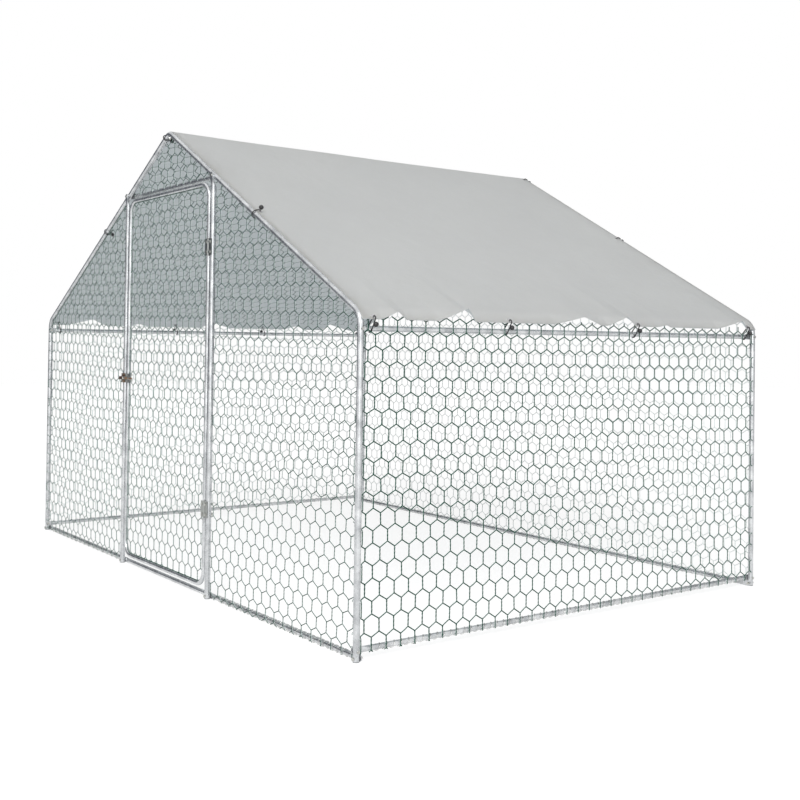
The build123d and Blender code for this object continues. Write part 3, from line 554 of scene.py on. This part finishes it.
def net_piece(name, body, nodes, material, place, facing, outline, mesh, edges=()):
    vertices, faces = joined(net_wires(place, facing, outline, edges, mesh))
    make_piece(name, vertices, faces, material, body, nodes)


# Netting is wrapped a little way round the corner posts
wrap_r = post_r + 2 * wire_r
wrap_length = 0.016


def wrap_start(post_place, depth):
    """Where netting that lies a depth behind the corner posts' axes first meets a post."""
    return post_place - math.sqrt(wrap_r**2 - depth**2)


def round_post(u, rise, post_place, depth):
    """Panel coordinate and offset, led round the corner post where the netting runs past its edge."""
    past = np.abs(u) - wrap_start(post_place, depth)
    turn = np.maximum(past, 0) / wrap_r - math.asin(depth / wrap_r)
    along = np.where(past > 0, np.sign(u) * (post_place - wrap_r * np.cos(turn)), u)
    return along, np.where(past > 0, depth + wrap_r * np.sin(turn), 0) + rise


def side_place(x):
    def place(u, v, rise):
        along, out = round_post(u, rise, gable_y, half_width - abs(x))
        return np.stack([x + np.sign(x) * out, along, v], axis=-1)

    return place


def gable_place(y):
    def place(u, v, rise):
        along, out = round_post(u, rise, half_width, gable_y - abs(y))
        return np.stack([along, y + np.sign(y) * out, v], axis=-1)

    return place


# Side walls, from the side rail up past the eave tube
wall_net_below_rail = 0.01
wall_net_above_tube = 0.04
wall_net_x = middle("net_right", "x")
wall_net_y = wrap_start(gable_y, half_width - wall_net_x) + wrap_length
wall_net_low = side_rail_z - wall_net_below_rail
wall_net_high = eave_tube_z + wall_net_above_tube
wall_outline = rectangle(wall_net_y, wall_net_low, wall_net_high)
wall_mesh = Mesh(
    (-0.9124, 1.0702),
    pitch=0.0577,
    row=0.0489,
    skew=-0.011,
    stretch=0.00026,
    wire=wall_wire_r,
)
for side, word in ((-1, "left"), (1, "right")):
    facing = (side, 0, 0)
    coat = coated_wire(f"wire_coat_{word}", facing)
    place = side_place(side * wall_net_x)
    net_piece(
        f"hex_net_{word}", "frame", [f"net_{word}"], coat, place, facing, wall_outline, wall_mesh
    )

# Gables, from the bottom rails up to the rafters
gable_net_below_rail = 0.009
gable_net_low = gable_rail_z - gable_net_below_rail
gable_net_y = -middle("net_front_right", "y")
gable_wall_x = wrap_start(half_width, gable_y - gable_net_y) + wrap_length
bend_x = half_width - eave_tangent - post_r
bend_z = eave_height - eave_tangent - post_r
fold_above_base = 0.01
fold_least_run = 0.03


def under_rafter(x):
    return ridge_height - abs(x) * math.tan(pitch) - post_r / math.cos(pitch)


def gable_outline(low_x, high_x, base):
    """Panel corners under the rafters, going round anticlockwise."""
    top = []
    for x in (high_x, low_x):
        if abs(x) > bend_x:
            bend = [(x, bend_z), (math.copysign(bend_x, x), under_rafter(bend_x))]
            top += bend if x > 0 else bend[::-1]
        else:
            top.append((x, under_rafter(x)))
    if low_x < 0 < high_x:
        top.insert(len(top) // 2, (0.0, under_rafter(0)))
    return [(low_x, base), (high_x, base)] + top


def slope_edges(outline, base):
    """The sloping sides of an outline, where the netting is folded under the rafter."""
    edges = []
    for start, end in zip(outline, outline[1:] + outline[:1]):
        raised = min(start[1], end[1]) > base + fold_above_base
        if raised and abs(start[0] - end[0]) > fold_least_run:
            edges.append((start, end))
    return edges


door_side_x = door_post_x + post_r
top_clear = 0.001
top_x = (ridge_height - post_r / math.cos(pitch) - door_header_z) / math.tan(pitch) - top_clear
left_mesh = Mesh((-0.9473, 0.5643), pitch=0.0602, row=0.0497, skew=-0.025, lean=-0.055)
right_mesh = Mesh((0.9857, 0.5357), pitch=0.0637, row=0.0505, skew=-0.026, lean=0.046)
top_mesh = Mesh((-0.0093, 1.6665), pitch=0.0655, row=0.0542, skew=-0.03, lean=0.05)
rear_mesh = Mesh((0.0, gable_net_low))
gable_strips = [
    ("front_left", -1, (-gable_wall_x, -door_side_x), gable_net_low, left_mesh),
    ("front_right", -1, (door_side_x, gable_wall_x), gable_net_low, right_mesh),
    ("front_top", -1, (-top_x, top_x), door_header_z, top_mesh),
    ("rear", 1, (-gable_wall_x, gable_wall_x), gable_net_low, rear_mesh),
]
front_coat = coated_wire("wire_coat_front", (0, -1, 0))
rear_coat = coated_wire("wire_coat_rear", (0, 1, 0))
for word, end, (low_x, high_x), base, mesh in gable_strips:
    node = f"net_{word}"
    coat = front_coat if end < 0 else rear_coat
    place = gable_place(middle(node, "y"))
    outline = gable_outline(low_x, high_x, base)
    edges = slope_edges(outline, base)
    net_piece(f"hex_net_{word}", "frame", [node], coat, place, (0, end, 0), outline, mesh, edges)

# Lacing wire wound round the bottom rails and over the ends of the netting
lacing_r = 0.0008
lacing_out = 0.0012
lacing_clear = 0.0021
lacing_coil_r = rail_r + lacing_clear
lacing_pitch = mesh_pitch / 2
lacing_points = 12
lacing_sides = 5
rail_inset = half_width - side_rail_x
end_clear = 0.06


def lacing(start, end, outward):
    """A coil about a rail from start to end, a little outward to go round the netting too."""
    start, end, outward = np.array(start), np.array(end), np.array(outward)
    length = np.linalg.norm(end - start)
    turns = int(length / lacing_pitch)
    share = np.linspace(0, 1, turns * lacing_points + 1)[:, None]
    angle = 2 * np.pi * turns * share
    coil = outward * np.cos(angle) + np.array([0, 0, 1]) * np.sin(angle)
    path = start + (end - start) * share + outward * lacing_out + lacing_coil_r * coil
    path[:, 2] = np.maximum(path[:, 2], lacing_r)
    return wires(path[None], lacing_r, lacing_sides, (end - start) / length)


laced = []
rail_y = gable_y - rail_inset
side_run = gable_y - end_clear
rear_run = half_width - end_clear
for side in (-1, 1):
    rail_x = side * side_rail_x
    ends = [(rail_x, y, side_rail_z) for y in (-side_run, side_run)]
    laced.append(lacing(*ends, (side, 0, 0)))
    inner_x = side * (door_post_x + end_clear)
    outer_x = side * (half_width - end_clear)
    ends = [(x, -rail_y, gable_rail_z) for x in (inner_x, outer_x)]
    laced.append(lacing(*ends, (0, -1, 0)))
ends = [(x, rail_y, gable_rail_z) for x in (-rear_run, rear_run)]
laced.append(lacing(*ends, (0, 1, 0)))
vertices, faces = joined(laced)
make_piece("lacing_wire", vertices, faces, zinc, "frame", [])

# Door netting, inside the rounded door tube
door_corner_r = 0.05
door_corner_steps = 6
door_low, door_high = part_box("door_net")
door_corners = [
    (door_high.x - door_corner_r, door_high.z - door_corner_r),
    (door_low.x + door_corner_r, door_high.z - door_corner_r),
    (door_low.x + door_corner_r, door_low.z + door_corner_r),
    (door_high.x - door_corner_r, door_low.z + door_corner_r),
]
door_outline = []
for quarter, (u, v) in enumerate(door_corners):
    for step in range(door_corner_steps + 1):
        turn = math.radians(90 * (quarter + step / door_corner_steps))
        door_outline.append((u + door_corner_r * math.cos(turn), v + door_corner_r * math.sin(turn)))
door_edges = list(zip(door_outline, door_outline[1:] + door_outline[:1]))
door_mesh = Mesh((0.0024, 0.5844), pitch=0.0577, row=0.0503, skew=-0.013)
net_piece(
    "hex_net_door",
    "door",
    ["door_net"],
    front_coat,
    gable_place(middle("door_net", "y")),
    (0, -1, 0),
    door_outline,
    door_mesh,
    door_edges,
)

# Roof netting, under the tarp between the rafters
roof_net_lift = 0.003
roof_net_sag = 0.024
roof_net_top = 0.012
roof_net_end = rafter_length - eave_tangent
roof_wrap_length = wrap_length / 3
roof_net_y = wrap_start(gable_y, -roof_net_lift) + roof_wrap_length
roof_outline = rectangle(roof_net_y, roof_net_top, roof_net_end)
roof_mesh = Mesh((0.0, 0.8))
roof_coat = coated_wire("wire_coat_roof", (0, 0, -1))
gable_grip = 4


def off_gables(y):
    """How free a sheet is of the gables at a place, from 0 on them to 1 midway."""
    return np.clip(1 - np.abs(y / gable_y) ** gable_grip, 0, 1)


def sag_share(y, distance):
    """How far a sheet hung between the rafters sinks at a place, from 0 to 1."""
    return off_gables(y) * np.sin(np.pi * np.clip(distance / rafter_length, 0, 1))


def roof_place(side):
    def place(u, v, rise):
        along, out = round_post(u, rise, gable_y, -roof_net_lift)
        lift = roof_net_lift + out - roof_net_sag * sag_share(u, v)
        x = side * (v * math.cos(pitch) + lift * math.sin(pitch))
        z = ridge_height - v * math.sin(pitch) + lift * math.cos(pitch)
        return np.stack([x, along, z], axis=-1)

    return place


for side, word in ((-1, "left"), (1, "right")):
    facing = (side * math.sin(pitch), 0, math.cos(pitch))
    net_piece(
        f"hex_net_roof_{word}",
        "frame",
        [],
        roof_coat,
        roof_place(side),
        facing,
        roof_outline,
        roof_mesh,
    )

# Tarp: a rectangular sheet over the ridge, bent down at the eaves, where folds lift its edge
tarp_thickness = 0.0007
tarp_lift = post_r + tarp_thickness
tarp_half_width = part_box("roof_tarp")[1].y
tarp_bend = elbow_radius + tarp_lift
hem_degrees = 55
hem_length = 0.027
ridge_arc = tarp_bend * pitch
hem_arc = tarp_bend * (math.radians(hem_degrees) - pitch)
droop_start = ridge_arc + rafter_length - eave_tangent - elbow_radius * math.tan(pitch)
tarp_half_length = droop_start + hem_arc + hem_length
tarp_sag = 0.011
tarp_settling = 0.003
tarp_held_run = 0.1
slope_steps = 210
length_steps = 300

# Slow waves left from packing: the limits of their rates along y and the slope, and of their phase
wave_count = 7
wave_low = (2.0, -7.0, 0.0)
wave_high = (11.0, 7.0, 6.28)
wave_height = 0.0035

# Folds along each eave: where each starts, peaks and ends along y, and how high it lifts the edge
lifted_degrees = -50
lift_trials = 43
crease_share = 0.22
crease_start = 1.3
crease_run = 0.35
eave_folds = {
    1: [
        (-0.928, -0.877, -0.83, 0.024),
        (-0.7, -0.587, -0.542, 0.04),
        (-0.17, -0.035, 0.07, 0.026),
        (0.105, 0.191, 0.258, 0.031),
        (0.385, 0.43, 0.462, 0.008),
        (0.75, 0.89, 0.94, 0.032),
    ],
    -1: [
        (-0.91, -0.76, -0.69, 0.03),
        (-0.56, -0.5, -0.45, 0.014),
        (-0.13, -0.045, 0.06, 0.028),
        (0.42, 0.52, 0.57, 0.02),
        (0.69, 0.76, 0.9, 0.032),
    ],
}


def smooth(values):
    values = np.clip(values, 0, 1)
    return values * values * (3 - 2 * values)


def slow_waves(y, distance):
    """A few slow waves over the sheet, drawn at random."""
    total = np.zeros_like(y + distance)
    for rate_y, rate_distance, phase in rng.uniform(wave_low, wave_high, (wave_count, 3)):
        total += np.sin(rate_y * y + rate_distance * distance + phase)
    return total / wave_count


def hem_turn(distance, end_angle):
    """How far the sheet has turned down past the slope, at distances from the ridge."""
    return (end_angle - pitch) * np.clip((distance - droop_start) / hem_arc, 0, 1)


def tarp_half(side):
    """Grid of one slope from the ridge down to the eave, and the same points on the flat sheet."""
    distance = np.linspace(0, tarp_half_length, slope_steps)[None, :]
    y = np.linspace(-tarp_half_width, tarp_half_width, length_steps)[:, None]
    step = tarp_half_length / (slope_steps - 1)
    trial_angles = np.radians(np.linspace(lifted_degrees, hem_degrees, lift_trials))[:, None]
    trial_drops = np.sum(np.sin(pitch + hem_turn(distance, trial_angles)) * step, axis=1)
    fold = np.zeros_like(y)
    for start_y, peak_y, end_y, height in eave_folds[side]:
        fold += np.interp(y, (start_y, peak_y, end_y), (0.0, height, 0.0))
    end_angle = np.interp(trial_drops[-1] - fold, trial_drops, trial_angles[:, 0])
    angle = np.minimum(distance / ridge_arc, 1.0) * pitch + hem_turn(distance, end_angle)
    mean_angle = (angle[:, 1:] + angle[:, :-1]) / 2
    zero = np.zeros((length_steps, 1))
    x = np.concatenate([zero, np.cumsum(np.cos(mean_angle) * step, axis=1)], axis=1)
    drop = np.concatenate([zero, np.cumsum(np.sin(mean_angle) * step, axis=1)], axis=1)
    top = ridge_height + tarp_lift / math.cos(pitch) - tarp_bend * (1 / math.cos(pitch) - 1)
    free = off_gables(y) * smooth((tarp_half_length - distance) / tarp_held_run)
    sag = -tarp_sag * sag_share(y, distance) - tarp_settling * free
    crease = crease_share * fold * smooth((distance - crease_start) / crease_run)
    rise = sag + wave_height * slow_waves(y, distance) * free + crease
    x = x + rise * np.sin(angle)
    z = top - drop + rise * np.cos(angle)
    grid = np.stack([side * x, y + 0 * x, z], axis=-1)
    return grid, np.stack([y + 0 * x, side * distance + 0 * x], axis=-1)


left_grid, left_flat = tarp_half(-1)
right_grid, right_flat = tarp_half(1)
grid = np.concatenate([left_grid[:, :0:-1], right_grid], axis=1)
grid[:, slope_steps - 1] = (left_grid[:, 0] + right_grid[:, 0]) / 2
flat = np.concatenate([left_flat[:, :0:-1], right_flat], axis=1)
index = np.arange(grid[..., 0].size).reshape(grid.shape[:2])
corners = [index[:-1, :-1], index[:-1, 1:], index[1:, 1:], index[1:, :-1]]
quads = np.stack(corners, axis=-1).reshape(-1, 4)
tarp = make_piece("tarp", grid.reshape(-1, 3), quads, tarp_sheet, "frame", ["roof_tarp"])
uv_layer = tarp.data.uv_layers.new(name="flat")
loop_vertices = np.zeros(len(tarp.data.loops), int)
tarp.data.loops.foreach_get("vertex_index", loop_vertices)
uv_layer.data.foreach_set("uv", flat.reshape(-1, 2)[loop_vertices].ravel())
thickness = tarp.modifiers.new("thickness", "SOLIDIFY")
thickness.thickness = tarp_thickness
thickness.offset = 0.0

# Floor: white in sight, a little brighter far from the run, and a mid grey to rays that gather light
floor_size = 40.0
floor_near = 2.5
floor_far = 9.0
floor_glow_near = 0.765
floor_glow_far = 0.8
floor_tone_lighting = 0.6
floor_tone_seen = 0.3


def seen_rays(tree):
    """1 for rays that show the backdrop, in sight or mirrored, and 0 for those that gather light."""
    path = tree.nodes.new("ShaderNodeLightPath")
    seen = path.outputs["Is Camera Ray"]
    for kind in ("Is Glossy Ray", "Is Transmission Ray"):
        either = add_node(tree, "ShaderNodeMath", operation="MAXIMUM")
        tree.links.new(seen, either.inputs[0])
        tree.links.new(path.outputs[kind], either.inputs[1])
        seen = either.outputs["Value"]
    return seen


bpy.ops.mesh.primitive_plane_add(size=floor_size)
floor = bpy.context.object
floor.name = "floor"
floor_material, floor_tree, floor_shader = new_material("floor_paint")
floor_shader.inputs["Roughness"].default_value = 0.9
floor_shader.inputs["Specular IOR Level"].default_value = 0.1
floor_shader.inputs["Emission Color"].default_value = (1, 1, 1, 1)
floor_seen = seen_rays(floor_tree)
outward = add_node(floor_tree, "ShaderNodeVectorMath", operation="LENGTH")
floor_tree.links.new(object_coordinates(floor_tree), outward.inputs[0])
brightening = map_range(
    floor_tree,
    outward.outputs["Value"],
    source=(floor_near, floor_far),
    target=(floor_glow_near, floor_glow_far),
)
floor_glow = add_node(floor_tree, "ShaderNodeMath", operation="MULTIPLY")
floor_tree.links.new(floor_seen, floor_glow.inputs[0])
floor_tree.links.new(brightening, floor_glow.inputs[1])
floor_tree.links.new(floor_glow.outputs["Value"], floor_shader.inputs["Emission Strength"])
floor_tone = map_range(floor_tree, floor_seen, target=(floor_tone_lighting, floor_tone_seen))
floor_tree.links.new(floor_tone, floor_shader.inputs["Base Color"])
floor.data.materials.append(floor_material)

# World: a white backdrop in sight, and a dome that lights more from above and from the front right
dome_heights = (-0.2, 0.8)
dome_tones = (0.88, 1.0)
dome_front = (0.8, -0.6, 0.0)
dome_turns = (-0.6, 0.4)
dome_strengths = (0.3, 1.0)
world = bpy.data.worlds.new("studio")
bpy.context.scene.world = world
world.use_nodes = True
sky = world.node_tree
backdrop = sky.nodes["Background"]
backdrop.inputs["Color"].default_value = (1, 1, 1, 1)
backdrop.inputs["Strength"].default_value = 1.0
light_dome = sky.nodes.new("ShaderNodeBackground")
direction = sky.nodes.new("ShaderNodeTexCoord").outputs["Generated"]
split = sky.nodes.new("ShaderNodeSeparateXYZ")
sky.links.new(direction, split.inputs["Vector"])
tone = map_range(sky, split.outputs["Z"], source=dome_heights, target=dome_tones)
sky.links.new(tone, light_dome.inputs["Color"])
toward = add_node(sky, "ShaderNodeVectorMath", operation="DOT_PRODUCT")
toward.inputs[1].default_value = dome_front
sky.links.new(direction, toward.inputs[0])
front_light = map_range(sky, toward.outputs["Value"], source=dome_turns, target=dome_strengths)
sky.links.new(front_light, light_dome.inputs["Strength"])
choose = sky.nodes.new("ShaderNodeMixShader")
sky.links.new(seen_rays(sky), choose.inputs["Fac"])
sky.links.new(light_dome.outputs["Background"], choose.inputs[1])
sky.links.new(backdrop.outputs["Background"], choose.inputs[2])
sky.links.new(choose.outputs["Shader"], sky.nodes["World Output"].inputs["Surface"])

# A high key light from the front right and a weaker fill from beside the camera
# Each has its power in watts, its side and its place
lamp_aim = Vector((0, 0, 0.9))
lamps = [
    ("key", 1200, 8.0, (11.0, -9.0, 10.1)),
    ("fill", 130, 6.0, (7.0, -4.4, 3.0)),
]
for name, energy, size, place in lamps:
    lamp_data = bpy.data.lights.new(name, "AREA")
    lamp_data.energy = energy
    lamp_data.size = size
    lamp = bpy.data.objects.new(name, lamp_data)
    lamp.location = place
    lamp.rotation_euler = (lamp_aim - lamp.location).to_track_quat("-Z", "Y").to_euler()
    bpy.context.scene.collection.objects.link(lamp)

# Two dark flags beside the set draw the edges of the tubes: only reflections see them
flag_size = (12.0, 6.0)
flag_places = {
    "flag_left": (-6.0, -3.9, 2.5),
    "flag_right": (0.2, 7.15, 2.5),
}
flag_material, flag_tree, flag_shader = new_material("flag_cloth")
flag_shade = noise_ramp(
    flag_tree,
    object_coordinates(flag_tree),
    scale=3.0,
    low=linear(0.18, 0.21, 0.26),
    high=linear(0.28, 0.31, 0.37),
)
flag_tree.links.new(flag_shade, flag_shader.inputs["Base Color"])
for name, place in flag_places.items():
    bpy.ops.mesh.primitive_plane_add(size=1.0, location=place)
    flag = bpy.context.object
    flag.name = name
    flag.scale = (*flag_size, 1.0)
    flag.rotation_euler = Vector((-place[0], -place[1], 0)).to_track_quat("Z", "Y").to_euler()
    flag.data.materials.append(flag_material)
    for ray in ("camera", "diffuse", "transmission", "shadow"):
        setattr(flag, f"visible_{ray}", False)

# The camera stands off the front right corner; its frame is shifted as the photograph's crop is
image_size = 800
camera_place = Vector((4.468, -2.95, 1.013))
camera_turn = math.radians(52.69)
camera_tilt = math.radians(-0.95)
camera_roll = math.radians(0.72)
focal_pixels = 1111.7
axis_pixel = (438.5, 325.3)
sensor_width = 36
forward = Vector(
    (
        -math.sin(camera_turn) * math.cos(camera_tilt),
        math.cos(camera_turn) * math.cos(camera_tilt),
        -math.sin(camera_tilt),
    )
)
level = Vector((math.cos(camera_turn), math.sin(camera_turn), 0))
rolled = level * math.cos(camera_roll) + level.cross(forward) * math.sin(camera_roll)
upright = rolled.cross(forward)
camera_data = bpy.data.cameras.new("camera")
camera = bpy.data.objects.new("camera", camera_data)
turned = Matrix((rolled, upright, -forward)).transposed().to_4x4()
camera.matrix_world = Matrix.Translation(camera_place) @ turned
camera_data.sensor_width = sensor_width
camera_data.lens = sensor_width * focal_pixels / image_size
camera_data.shift_x = (image_size / 2 - axis_pixel[0]) / image_size
camera_data.shift_y = (axis_pixel[1] - image_size / 2) / image_size
bpy.context.scene.collection.objects.link(camera)
bpy.context.scene.camera = camera
bpy.context.scene.view_settings.view_transform = "Standard"
